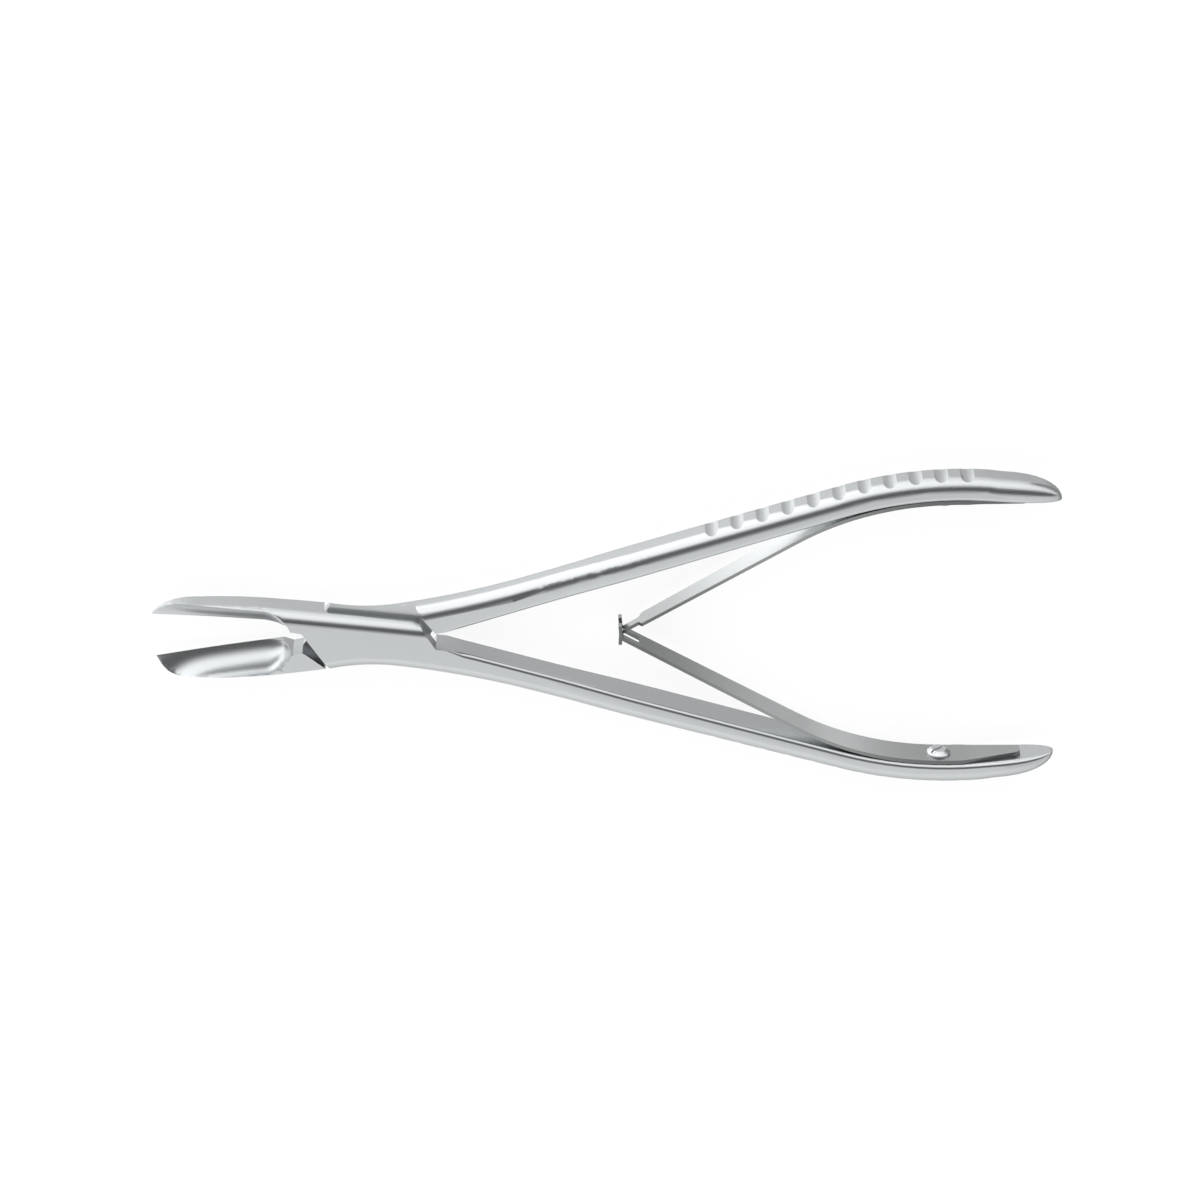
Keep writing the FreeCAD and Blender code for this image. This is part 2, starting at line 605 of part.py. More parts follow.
def add_leaf(doc, sizes, label, side):
    """A leaf spring: a flat strip that follows the handle's bow, then springs across to its fellow."""
    (cx, cy), outer, inner, arc_centre, free_start, corner = leaf_path(sizes)
    slope, arc, thin = sizes.leaf_slope, sizes.leaf_arc_radius, sizes.leaf_free_thickness
    end_slope = sizes.handle_end_slope
    bend = sizes.leaf_bend_radius
    setback = bend * tangent(sizes.leaf_bend_turn / 2)
    bend_start = (corner[0] + setback * cosine(slope), corner[1] - setback * sine(slope))
    bend_centre = (bend_start[0] + bend * sine(slope), bend_start[1] + bend * cosine(slope))
    heading = 180 - slope - sizes.leaf_bend_turn
    across = (sine(heading), -1 * cosine(heading))
    along = (cosine(heading), sine(heading))
    reach = sizes.leaf_hook_reach - setback

    def on_bend(radius, forward):
        return (bend_centre[0] - radius * across[0] + forward * along[0],
                bend_centre[1] - radius * across[1] + forward * along[1])

    def on_bow(radius, angle, forward):
        return (cx + radius * sine(angle) + forward * cosine(angle),
                cy - radius * cosine(angle) + forward * sine(angle))

    run = (sizes.leaf_tail_x - on_bow(outer, end_slope, 0)[0]) / cosine(end_slope)
    mean_arc = arc + (sizes.leaf_root_thickness + thin) / 2
    corners = [
        on_bow(outer, end_slope, run),
        on_bow(outer, end_slope, 0) + (outer, 1),
        on_bow(outer, Size(0), 0) + (mean_arc, 1),
        (arc_centre[0] - (arc + thin) * sine(slope), arc_centre[1] - (arc + thin) * cosine(slope)),
        (bend_start[0] - thin * sine(slope), bend_start[1] - thin * cosine(slope), bend + thin, 1),
        on_bend(bend + thin, 0),
        on_bend(bend + thin, reach),
        on_bend(bend, reach),
        on_bend(bend, 0) + (bend, -1),
        bend_start,
        free_start + (arc, -1),
        on_bow(inner, Size(0), 0) + (inner, -1),
        on_bow(inner, end_slope, 0),
        on_bow(inner, end_slope, run),
    ]
    body = doc.addObject("PartDesign::Body", label)
    body.Label = label
    plan = new_sketch(body, label + "_edge_view", "XY_Plane")
    draw_loop(plan, corners)
    pad(body, plan, label + "_strip", sizes.leaf_root_width)

    root, tip = sizes.leaf_root_width / 2, sizes.leaf_tail_tip_radius
    end = (sizes.lower_leaf_end_width if side == FRONT else sizes.upper_leaf_end_width) / 2
    hook_end = corner[0] - 1.25 * sizes.leaf_hook_reach
    step = corner[0] + sizes.fork_slot_length
    tail_x = sizes.leaf_tail_x
    upper = [(hook_end, end)]
    if side == REAR:
        tongue = sizes.tongue_width / 2
        upper = [(hook_end, tongue), (step, tongue), (step + (end - tongue) / 2, end)]
    upper += [(sizes.leaf_taper_x, root), (sizes.leaf_tail_taper_x, root)]
    lower = [(x, -1 * z) for x, z in reversed(upper)]
    outline = upper + [(tail_x - tip, tip, tip, 1), (tail_x, 0, tip, 1), (tail_x - tip, -1 * tip)] + lower
    wide = sizes.leaf_root_width
    frame = [(hook_end - wide, -1 * wide), (tail_x + wide, -1 * wide), (tail_x + wide, wide),
             (hook_end - wide, wide)]
    face_view = new_sketch(body, label + "_face_view", "XZ_Plane")
    draw_loop(face_view, outline)
    draw_loop(face_view, frame)
    pocket(body, face_view, label + "_outline", sizes.handle_length)
    if side == FRONT:
        slot = new_sketch(body, label + "_slot", "XZ_Plane")
        half = sizes.fork_slot_width / 2
        open_end = hook_end - sizes.leaf_root_thickness
        draw_loop(slot, [(open_end, -1 * half), (step, -1 * half), (step, half), (open_end, half)])
        pocket(body, slot, label + "_fork", sizes.handle_length)
    x, y, into = spring_screw_seat(sizes, inner - sizes.leaf_root_thickness)
    bore(body, label + "_screw_hole", x, y, into, sizes.spring_screw_shank_radius + sizes.leaf_hole_clearance,
         3 * sizes.leaf_root_thickness)
    return body


def add_screw(doc, label, profile, slot_z, slot_side, slot):
    """A slotted screw turned about Z from its half profile, with a straight slot across its head."""
    body = doc.addObject("PartDesign::Body", label)
    body.Label = label
    sketch = new_sketch(body, label + "_profile", "XZ_Plane")
    draw_loop(sketch, profile)
    turned = body.newObject("PartDesign::Revolution", label + "_turned")
    turned.Profile = sketch
    turned.ReferenceAxis = (sketch, ["V_Axis"])
    turned.Angle = 360
    width, depth, length = slot
    top = FreeCAD.Placement(FreeCAD.Vector(0, 0, slot_z.value), FreeCAD.Rotation())
    cut = new_sketch(body, label + "_slot", "XY_Plane", top)
    half, reach = width / 2, length
    draw_loop(cut, [(-1 * reach, -1 * half), (reach, -1 * half), (reach, half), (-1 * reach, half)])
    pocket(body, cut, label + "_slotted", depth, side=slot_side)
    return body


def add_pivot_screw(doc, sizes):
    half, shank, head = sizes.lock_thickness / 2, sizes.pivot_shank_radius, sizes.pivot_head_radius
    under = sizes.pivot_head_height - half
    top = half - sizes.pivot_cover
    profile = [(0, top), (shank, top), (shank, under), (head, under), (head, -1 * half), (0, -1 * half)]
    slot = (sizes.pivot_slot_width, sizes.pivot_slot_depth, 1.2 * head)
    return add_screw(doc, "pivot_screw", profile, -1 * half, 1, slot)


def add_spring_screw(doc, sizes, label):
    head, shank = sizes.spring_screw_head_radius, sizes.spring_screw_shank_radius
    height, edge = sizes.spring_screw_head_height, sizes.spring_screw_head_edge
    length = sizes.spring_screw_length
    profile = [(0, height), (sizes.spring_screw_head_flat, height), (head, edge), (head, 0), (shank, 0),
               (shank, -1 * length), (0, -1 * length)]
    slot = (sizes.spring_screw_slot_width, sizes.spring_screw_slot_depth, 1.2 * head)
    body = add_screw(doc, label, profile, height, -1, slot)
    reach = sizes.handle_bow_radius - 2 * sizes.leaf_seat_gap - sizes.leaf_root_thickness
    x, y, into = spring_screw_seat(sizes, reach)
    out = FreeCAD.Vector(-into[0].value, -into[1].value, 0)
    spin = FreeCAD.Rotation(FreeCAD.Vector(0, 0, 1), sizes.spring_screw_slot_turn.value)
    turn = FreeCAD.Rotation(FreeCAD.Vector(0, 0, 1), out).multiply(spin)
    body.Placement = FreeCAD.Placement(FreeCAD.Vector(x.value, y.value, 0), turn)
    return body


def set_open(body, sizes, side):
    """Turns a piece from its own drawing frame to rest: half open, and turned over if of the rear half."""
    swing = FreeCAD.Rotation(FreeCAD.Vector(0, 0, 1), -sizes.opening_angle.value / 2)
    over = FreeCAD.Rotation(FreeCAD.Vector(1, 0, 0), 0 if side == FRONT else 180)
    body.Placement = FreeCAD.Placement(FreeCAD.Vector(), over.multiply(swing)).multiply(body.Placement)


def main():
    os.makedirs("parts", exist_ok=True)
    doc = FreeCAD.newDocument("BoneCuttingForceps")
    sizes = Sheet(doc)
    front = [add_half(doc, sizes, "front_half", FRONT),
             add_pivot_screw(doc, sizes),
             add_leaf(doc, sizes, "lower_leaf_spring", FRONT),
             add_spring_screw(doc, sizes, "lower_spring_screw")]
    rear = [add_half(doc, sizes, "rear_half", REAR),
            add_leaf(doc, sizes, "upper_leaf_spring", REAR),
            add_spring_screw(doc, sizes, "upper_spring_screw")]
    doc.recompute()
    for body in front:
        set_open(body, sizes, FRONT)
    for body in rear:
        set_open(body, sizes, REAR)
    doc.recompute()

    bodies = front + rear
    whole = Part.makeCompound([body.Shape for body in bodies]).optimalBoundingBox(False)
    shift = FreeCAD.Vector(-whole.Center.x, -whole.Center.y, -whole.ZMin)
    for body in bodies:
        body.Placement.Base = body.Placement.Base + shift
    doc.recompute()
    print("pivot axis at", shift, "box", whole.XLength, whole.YLength, whole.ZLength)

    for item in doc.Objects:
        if "Invalid" in item.State or "Error" in item.State:
            raise RuntimeError("%s: %s" % (item.Label, item.State))
    for body in bodies:
        shape = body.Shape
        if shape.isNull() or not shape.isValid() or len(shape.Solids) != 1:
            raise RuntimeError("bad shape: " + body.Label)
        shape.exportStep("parts/%s.step" % body.Label)
        print(body.Label, round(shape.Volume, 1), len(shape.Faces))


main()
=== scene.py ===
"""Looks of the straight bone cutting forceps: satin forged halves, leaf springs, screws and a pale studio."""

import json
import math

import bmesh
import bpy
from bpy.props import FloatProperty, FloatVectorProperty, PointerProperty
from mathutils import Matrix, Vector


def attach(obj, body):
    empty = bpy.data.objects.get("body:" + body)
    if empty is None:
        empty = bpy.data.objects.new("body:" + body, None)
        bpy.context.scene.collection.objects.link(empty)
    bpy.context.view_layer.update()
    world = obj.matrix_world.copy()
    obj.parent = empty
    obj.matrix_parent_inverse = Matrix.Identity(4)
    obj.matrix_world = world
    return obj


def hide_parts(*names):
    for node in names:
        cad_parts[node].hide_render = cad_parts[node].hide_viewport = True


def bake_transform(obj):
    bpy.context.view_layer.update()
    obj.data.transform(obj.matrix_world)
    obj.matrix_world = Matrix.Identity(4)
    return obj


bl_info = {
    "name": "Bone cutting forceps",
    "version": (1, 0, 0),
    "blender": (4, 5, 0),
    "location": "3D View > Sidebar > Forceps",
    "description": "Dresses the packed forceps with satin steel, modelled leaf springs and a studio",
    "category": "Object",
}

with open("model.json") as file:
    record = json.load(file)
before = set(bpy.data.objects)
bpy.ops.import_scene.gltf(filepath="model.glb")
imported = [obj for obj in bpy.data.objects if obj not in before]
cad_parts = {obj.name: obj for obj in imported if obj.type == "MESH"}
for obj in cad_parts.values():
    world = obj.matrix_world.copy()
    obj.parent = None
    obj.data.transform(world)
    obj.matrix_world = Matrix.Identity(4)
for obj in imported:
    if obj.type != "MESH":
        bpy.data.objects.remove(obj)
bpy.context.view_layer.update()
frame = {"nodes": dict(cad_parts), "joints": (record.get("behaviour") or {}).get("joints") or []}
JOINTS = {joint["name"]: joint for joint in frame["joints"]}
PIVOT = Vector(JOINTS["jaw_pivot"]["pos_m"])
MM = 0.001
HALF_OPENING = math.radians(JOINTS["jaw_pivot"]["range_deg"][1]) / 2
FRONT = 1
REAR = -1

# The handle's inner side in a half's closed frame: a straight run, a bow and a straight end.
HANDLE_SLOPE = math.radians(10.9)
END_SLOPE = math.radians(11.0)
BOW = Vector((105.5, -17.15, 0)) * MM
BOW_RADIUS = 70 * MM
HANDLE_LENGTH = 132.5 * MM
INNER_ROUND_START = 16 * MM
END_RINGS = 9
END_RING_TURN = math.radians(9.9)
END_FULLNESS = 0.8

# The blade's nose along the closed frame's X, its lift, how much fuller each half's is, and its even cuts.
NOSE_START = -20.0 * MM
NOSE_END = -39.6 * MM
NOSE_LIFT = 0.8 * MM
NOSE_CUTS = 16
NOSE_FILL = {FRONT: 0.35, REAR: 1.1}

# The grinding wheel of the blades' hollows, in a half's closed frame: its axis and its rounded end.
WHEEL_AXIS = Vector((0, -1.7, 2.469)) * MM
WHEEL_RISE = math.atan(0.9 / 27.6)
WHEEL_RADIUS = 6.12 * MM
WHEEL_START = -13.1 * MM
WHEEL_ROUND = 5.8 * MM
WHEEL_LENGTH = 30 * MM
WHEEL_SIDES = 160
WHEEL_RINGS = 23
WHEEL_RING_TURN = math.radians(3.9)

# Points closer than this are one point: in the CAD mesh, and after grinding.
SAME_POINT = 0.001 * MM
GROUND_POINT = 0.005 * MM
FLAT_ANGLE = math.radians(0.4)
SHARP_ANGLE = math.radians(32)
SMOOTH_ANGLE = math.radians(40)

# The stretch along X over which the leaves' colour is painted lighter in its middle and darker towards its
# ends: a painted reflection.
PAINTED_REFLECTION_STRETCH = (PIVOT.x + 52 * MM, PIVOT.x + 108 * MM)


def sky_stop(degrees, shade):
    """A stop of the studio dome, at its angle from straight up towards the far side."""
    return (degrees / 360.0 + 0.5, shade)


SKY = (sky_stop(-180, 0.65), sky_stop(-120, 0.5), sky_stop(-85, 0.85), sky_stop(-62, 1.05),
       sky_stop(-34, 1.1), sky_stop(-24, 0.9), sky_stop(-14, 0.35), sky_stop(0, 0.12), sky_stop(28, 0.12),
       sky_stop(40, 0.8), sky_stop(52, 1.45), sky_stop(105, 1.45), sky_stop(125, 1.2), sky_stop(142, 0.75),
       sky_stop(156, 0.65), sky_stop(180, 0.65))
# How light from under the glass table changes from the blades' side (0) to the handles' side (1).
UNDER = ((0.0, 1.1), (0.27, 1.1), (0.33, 0.85), (0.38, 0.65), (0.5, 0.5), (0.6, 0.36), (0.64, 0.32),
         (0.69, 0.5), (0.72, 0.1), (0.75, 0.02))
UNDER_GAIN = 2.0


class ForcepsSteel(bpy.types.PropertyGroup):
    body_colour: FloatVectorProperty(
        name="Forging colour", description="Colour of the satin forged halves",
        subtype="COLOR", default=(0.60, 0.62, 0.63), min=0.0, max=1.0)
    spring_colour: FloatVectorProperty(
        name="Spring colour", description="Colour of the leaf springs",
        subtype="COLOR", default=(0.58, 0.60, 0.60), min=0.0, max=1.0)
    screw_colour: FloatVectorProperty(
        name="Screw colour", description="Colour of the screws",
        subtype="COLOR", default=(0.66, 0.67, 0.68), min=0.0, max=1.0)
    roughness: FloatProperty(
        name="Satin roughness", description="Roughness of the satin finish", default=0.27, min=0.05, max=1.0)
    grain_length: FloatProperty(
        name="Grain length", description="Length of the fine grinding marks", default=0.0016,
        subtype="DISTANCE", unit="LENGTH")
    inner_round: FloatProperty(
        name="Inner rounding", description="Radius of the long edges of the handles' inner sides",
        default=0.00085, subtype="DISTANCE", unit="LENGTH")
    end_taper: FloatProperty(
        name="End taper", description="Length over which a handle's end narrows to its rounded tip",
        default=0.0117, subtype="DISTANCE", unit="LENGTH")
    edge_break: FloatProperty(
        name="Edge break", description="Width of the small rounding on every sharp edge", default=0.00012,
        subtype="DISTANCE", unit="LENGTH")


class ForcepsStudio(bpy.types.PropertyGroup):
    camera_tilt: FloatProperty(
        name="Camera tilt", description="Angle between the camera's axis and the pivot axis",
        default=math.radians(28.0), subtype="ANGLE")
    camera_roll: FloatProperty(
        name="Camera roll", description="Turn of the picture, so that the object rises to the right",
        default=math.radians(0.8), subtype="ANGLE")
    camera_distance: FloatProperty(
        name="Camera distance", description="Distance from the camera to the object", default=0.9,
        subtype="DISTANCE", unit="LENGTH")
    picture_width: FloatProperty(
        name="Picture width", description="Width of what the picture shows at the object", default=0.2247,
        subtype="DISTANCE", unit="LENGTH")
    aim_along: FloatProperty(
        name="Aim along", description="Distance from the pivot to the picture's middle, along the object",
        default=0.04478, subtype="DISTANCE", unit="LENGTH")
    aim_across: FloatProperty(
        name="Aim across", description="Distance from the pivot to the picture's middle, across the object",
        default=0.00675, subtype="DISTANCE", unit="LENGTH")
    floor_glow: FloatProperty(
        name="Floor glow", description="Light that the floor adds to its own for the camera and reflections",
        default=0.55)
    glass_share: FloatProperty(
        name="Glass share", description="Share of the light from under the table that its glass lets through",
        default=0.72, min=0.0, max=1.0, subtype="FACTOR")
    dome_light: FloatProperty(
        name="Dome light", description="Strength of the studio dome's light", default=1.0)


class Sock:
    """A node's output in a shader, on which Python's operators add Math nodes."""

    def __init__(self, shader, socket):
        self.shader = shader
        self.socket = socket

    def maths(self, operation, first, second):
        return self.shader.node("ShaderNodeMath", {"operation": operation}, [first, second])

    def node_parts(self):
        """The x, y and z of a vector."""
        return [self.shader.node("ShaderNodeSeparateXYZ", {}, [self], output=axis) for axis in range(3)]

    def __add__(self, other):
        return self.maths("ADD", self, other)

    def __rsub__(self, other):
        return self.maths("SUBTRACT", other, self)

    def __mul__(self, other):
        return self.maths("MULTIPLY", self, other)

    def __truediv__(self, other):
        return self.maths("DIVIDE", self, other)

    __radd__ = __add__
    __rmul__ = __mul__


class Shader:
    """A material or world being built; node() adds one node and gives its output."""

    def __init__(self, owner):
        owner.use_nodes = True
        self.tree = owner.node_tree
        self.tree.nodes.clear()

    def node(self, kind, settings=None, values=(), output=0):
        made = self.tree.nodes.new(kind)
        for name, setting in (settings or {}).items():
            if name == "stops":
                ramp = made.color_ramp
                while len(ramp.elements) < len(setting):
                    ramp.elements.new(0.5)
                for element, (place, shade) in zip(ramp.elements, setting):
                    element.position = place
                    element.color = (shade, shade, shade, 1.0) if isinstance(shade, float) else shade
            else:
                setattr(made, name, setting)
        pairs = values.items() if isinstance(values, dict) else enumerate(values)
        for key, value in pairs:
            if isinstance(value, Sock):
                self.tree.links.new(value.socket, made.inputs[key])
            elif value is not None:
                made.inputs[key].default_value = value
        return Sock(self, made.outputs[output]) if made.outputs else None


def satin_steel(name, colour, roughness, grain, cut_edges=0.0, painted_reflection=None):
    """Fine ground stainless steel: very faint short marks along the piece, clouds and peening.

    With cut_edges, the faces that look along the pivot axis keep the darker skin of sheared strip. With a
    stretch given, the colour is painted lighter in its middle and darker towards its ends along X: a painted
    reflection.
    """
    material = bpy.data.materials.new(name)
    shader = Shader(material)
    place = shader.node("ShaderNodeTexCoord", output=3)
    stretch = (1.0 / grain, 6.0 / grain, 6.0 / grain)
    lined = shader.node("ShaderNodeMapping", {}, {"Vector": place, "Scale": stretch})
    marks = shader.node("ShaderNodeTexNoise", {}, {"Vector": lined, "Scale": 1.0, "Detail": 4.0,
                                                   "Roughness": 0.6})
    clouds = shader.node("ShaderNodeTexNoise", {}, {"Vector": place, "Scale": 260.0, "Detail": 3.0})
    peened = shader.node("ShaderNodeTexNoise", {}, {"Vector": place, "Scale": 5200.0, "Detail": 2.0})
    tone = 0.985 + 0.012 * marks + 0.018 * clouds
    # Painted reflection: the colour is made lighter in the middle of the given stretch along X and darker
    # towards its ends.
    if painted_reflection:
        start, end = painted_reflection
        along = place.node_parts()[0]
        reach = shader.node("ShaderNodeMapRange", {"interpolation_type": "SMOOTHSTEP"},
                            [along, start, (start + end) / 2, 0.0, 1.0])
        back = shader.node("ShaderNodeMapRange", {"interpolation_type": "SMOOTHSTEP"},
                           [along, (start + end) / 2, end, 1.0, 0.0])
        tone = tone * (0.75 + 0.75 * reach * back)
    if cut_edges:
        upright = shader.node("ShaderNodeTexCoord", output=1).node_parts()[2]
        tone = tone * (1.0 - cut_edges * upright.maths("ABSOLUTE", upright, 0.0))
    white = shader.node("ShaderNodeCombineColor", {}, [tone, tone, tone])
    base = shader.node("ShaderNodeMix", {"data_type": "RGBA", "blend_type": "MULTIPLY"},
                       {"Factor": 1.0, "A": (*colour, 1.0), "B": white}, output=2)
    rough = roughness - 0.01 + 0.01 * marks + 0.01 * clouds
    height = 0.5 * marks + 0.1 * peened
    bump = shader.node("ShaderNodeBump", {}, {"Strength": 0.02, "Distance": 0.00004, "Height": height})
    surface = shader.node("ShaderNodeBsdfPrincipled", {}, {"Base Color": base, "Roughness": rough,
                                                           "Metallic": 1.0, "Normal": bump})
    shader.node("ShaderNodeOutputMaterial", {}, [surface])
    return material


def dress(piece, material):
    piece.data.materials.clear()
    piece.data.materials.append(material)


def only(piece):
    """Leaves one object selected and active."""
    bpy.ops.object.select_all(action="DESELECT")
    piece.select_set(True)
    bpy.context.view_layer.objects.active = piece


def to_closed(point, side):
    """A point of the rest frame, in a half's own closed frame: its blade along -X, its handle on -Y."""
    local = point - PIVOT
    return Matrix.Rotation(HALF_OPENING, 3, "Z") @ Vector((local.x, side * local.y, side * local.z))


def turn_open(direction, side):
    """A direction of a half's closed frame, in the rest frame."""
    turned = Matrix.Rotation(-HALF_OPENING, 3, "Z") @ direction
    return Vector((turned.x, side * turned.y, side * turned.z))


def merge_points(distance):
    """Merges the points of the active piece that are closer than a distance; leaves it in edit mode."""
    bpy.ops.object.mode_set(mode="EDIT")
    bpy.ops.mesh.select_all(action="SELECT")
    bpy.ops.mesh.remove_doubles(threshold=distance)


def select_faces(piece, wanted):
    """Selects, in edit mode, only the faces that a test accepts."""
    bpy.ops.mesh.select_mode(type="FACE")
    bpy.ops.mesh.select_all(action="DESELECT")
    mesh = bmesh.from_edit_mesh(piece.data)
    for face in mesh.faces:
        face.select_set(wanted(face))
    bmesh.update_edit_mesh(piece.data)


def draw_out(start, along, rings):
    """Extrudes the selected end through rings, each a distance from the start and a size, to a point."""
    place, size = 0.0, 1.0
    for new_place, new_size in rings:
        bpy.ops.mesh.extrude_region_move(TRANSFORM_OT_translate={"value": along * (new_place - place)})
        bpy.ops.transform.resize(value=[new_size / size] * 3, center_override=start + along * new_place)
        place, size = new_place, new_size
    bpy.ops.mesh.merge(type="COLLAPSE")


def welded_copy(node, name):
    """A copy of a CAD node with its loose triangles merged to whole faces."""
    piece = bpy.data.objects.new(name, frame["nodes"][node].data.copy())
    bpy.context.scene.collection.objects.link(piece)
    only(piece)
    merge_points(SAME_POINT)
    bpy.ops.mesh.dissolve_limited(angle_limit=FLAT_ANGLE)
    bpy.ops.object.mode_set(mode="OBJECT")
    return piece


def grind_hollow(piece, side):
    """Grinds the blade's hollow anew with a fine round-ended wheel, a hair deeper than in the CAD."""
    along = turn_open(Vector((math.cos(WHEEL_RISE), 0, -side * math.sin(WHEEL_RISE))), side)
    axis = PIVOT + turn_open(Vector((WHEEL_AXIS.x, WHEEL_AXIS.y, side * WHEEL_AXIS.z)), side)
    end = axis + along * (WHEEL_START - WHEEL_ROUND)
    bpy.ops.object.select_all(action="DESELECT")
    bpy.ops.mesh.primitive_cylinder_add(vertices=WHEEL_SIDES, radius=WHEEL_RADIUS, depth=WHEEL_LENGTH)
    wheel = bpy.context.object
    wheel.matrix_world = (Matrix.Translation(end - along * WHEEL_LENGTH / 2)
                          @ along.to_track_quat("Z", "Y").to_matrix().to_4x4())
    bpy.ops.object.transform_apply(location=True, rotation=True)
    bpy.ops.object.mode_set(mode="EDIT")
    select_faces(wheel, lambda face: face.normal.dot(along) > 0.99)
    turns = [WHEEL_RING_TURN * ring for ring in range(1, WHEEL_RINGS + 1)]
    draw_out(end, along, [(math.sin(turn) * WHEEL_ROUND, math.cos(turn)) for turn in turns])
    bpy.ops.object.mode_set(mode="OBJECT")
    only(piece)
    cut = piece.modifiers.new("hollow", "BOOLEAN")
    cut.object = wheel
    cut.operation = "DIFFERENCE"
    cut.solver = "EXACT"
    bpy.ops.object.modifier_apply(modifier=cut.name)
    merge_points(GROUND_POINT)
    bpy.ops.object.mode_set(mode="OBJECT")
    bpy.data.objects.remove(wheel, do_unlink=True)


def shape_nose(piece, side):
    """Lifts a blade's nose towards its hollow side and makes its end fuller and rounder."""
    bpy.ops.object.mode_set(mode="EDIT")
    along = turn_open(Vector((-1, 0, 0)), side)
    for cut in range(NOSE_CUTS):
        place = Vector((NOSE_START + (NOSE_END - NOSE_START) * cut / NOSE_CUTS, 0, 0))
        bpy.ops.mesh.select_all(action="SELECT")
        bpy.ops.mesh.bisect(plane_co=PIVOT + turn_open(place, side), plane_no=along)
    bpy.ops.object.mode_set(mode="OBJECT")
    for vertex in piece.data.vertices:
        place = to_closed(vertex.co, side)
        share = (NOSE_START - place.x) / (NOSE_START - NOSE_END)
        if share > 0:
            vertex.co += turn_open(Vector((0, place.y * NOSE_FILL[side] * share ** 6, 0)), side)
            vertex.co.z += NOSE_LIFT * share ** 2


def finish_faces(piece, edge_break):
    """Breaks the sharp edges and shades the faces smooth."""
    only(piece)
    bevel = piece.modifiers.new("edge_break", "BEVEL")
    bevel.width = edge_break
    bevel.segments = 2
    bevel.limit_method = "ANGLE"
    bevel.angle_limit = SHARP_ANGLE
    bpy.ops.object.modifier_apply(modifier=bevel.name)
    bpy.ops.object.shade_smooth_by_angle(angle=SMOOTH_ANGLE)
    weighted = piece.modifiers.new("face_normals", "WEIGHTED_NORMAL")
    weighted.keep_sharp = True
    bpy.ops.object.modifier_apply(modifier=weighted.name)


def cut_end(piece, side, length):
    """Cuts a handle's end off square; returns the middle of the cut's inner side and the way out."""
    along = turn_open(Vector((math.cos(END_SLOPE), math.sin(END_SLOPE), 0)), side)
    reach = HANDLE_LENGTH - length * math.cos(END_SLOPE)
    run = BOW_RADIUS * math.tan((HANDLE_SLOPE + END_SLOPE) / 2)
    out = BOW + Vector((math.cos(END_SLOPE), math.sin(END_SLOPE), 0)) * run
    foot = Vector((reach, out.y + (reach - out.x) * math.tan(END_SLOPE), 0))
    middle = PIVOT + turn_open(foot, side)
    bpy.ops.object.mode_set(mode="EDIT")
    bpy.ops.mesh.select_all(action="SELECT")
    bpy.ops.mesh.bisect(plane_co=middle, plane_no=along, use_fill=True, clear_outer=True)
    bpy.ops.object.mode_set(mode="OBJECT")
    return middle, along


def draw_out_end(piece, middle, along, length):
    """Draws the cut end out to a rounded tip; the inner side stays flat."""

    def on_cut(face):
        offset = (face.calc_center_median() - middle).dot(along)
        return abs(offset) < 0.01 * MM and face.normal.dot(along) > 0.99

    bpy.ops.object.mode_set(mode="EDIT")
    select_faces(piece, on_cut)
    turns = [END_RING_TURN * ring for ring in range(1, END_RINGS + 1)]
    draw_out(middle, along, [(math.sin(turn) ** END_FULLNESS * length, math.cos(turn)) for turn in turns])
    bpy.ops.object.mode_set(mode="OBJECT")


def round_long_edges(piece, side, facing, start, end, radius):
    """Rounds the edges between the side faces and the walls that face one way, from start to end along X."""
    bpy.ops.object.mode_set(mode="EDIT")
    bpy.ops.mesh.select_mode(type="EDGE")
    bpy.ops.mesh.select_all(action="DESELECT")
    mesh = bmesh.from_edit_mesh(piece.data)
    facing = turn_open(facing, side)
    for edge in mesh.edges:
        if len(edge.link_faces) != 2:
            continue
        upright = max(abs(face.normal.z) for face in edge.link_faces)
        flat = min(abs(face.normal.z) for face in edge.link_faces)
        turned = max(face.normal.dot(facing) for face in edge.link_faces)
        reach = [to_closed(vertex.co, side).x for vertex in edge.verts]
        within = min(reach) > start and max(reach) < end
        edge.select_set(upright > 0.9 and flat < 0.1 and turned > 0.8 and within)
    bmesh.update_edit_mesh(piece.data)
    bpy.ops.mesh.bevel(offset=radius, segments=4)
    bpy.ops.object.mode_set(mode="OBJECT")


class FORCEPS_OT_halves(bpy.types.Operator):
    """Model the finished surfaces of the two forged halves"""

    bl_idname = "forceps.halves"
    bl_label = "Forged halves"

    def execute(self, context):
        steel = context.scene.forceps_steel
        for node, body, side in (("front_half", "front_member", FRONT), ("rear_half", "rear_member", REAR)):
            piece = welded_copy(node, node + "_finished")
            grind_hollow(piece, side)
            middle, along = cut_end(piece, side, steel.end_taper)
            round_long_edges(piece, side, Vector((0, 1, 0)), INNER_ROUND_START, HANDLE_LENGTH,
                             steel.inner_round)
            draw_out_end(piece, middle, along, steel.end_taper)
            shape_nose(piece, side)
            finish_faces(piece, steel.edge_break)
            dress(piece, satin_steel(node + "_satin", steel.body_colour, steel.roughness, steel.grain_length))
            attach(piece, body)
            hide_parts(node)
        return {"FINISHED"}


class FORCEPS_OT_screws(bpy.types.Operator):
    """Model the finished surfaces of the pivot screw and the two spring screws"""

    bl_idname = "forceps.screws"
    bl_label = "Screws"

    def execute(self, context):
        steel = context.scene.forceps_steel
        material = satin_steel("screw_satin", steel.screw_colour, steel.roughness - 0.05, steel.grain_length)
        for node, body in (("pivot_screw", "front_member"), ("lower_spring_screw", "front_member"),
                           ("upper_spring_screw", "rear_member")):
            piece = welded_copy(node, node + "_finished")
            finish_faces(piece, steel.edge_break * 0.6)
            dress(piece, material)
            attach(piece, body)
            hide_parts(node)
        return {"FINISHED"}


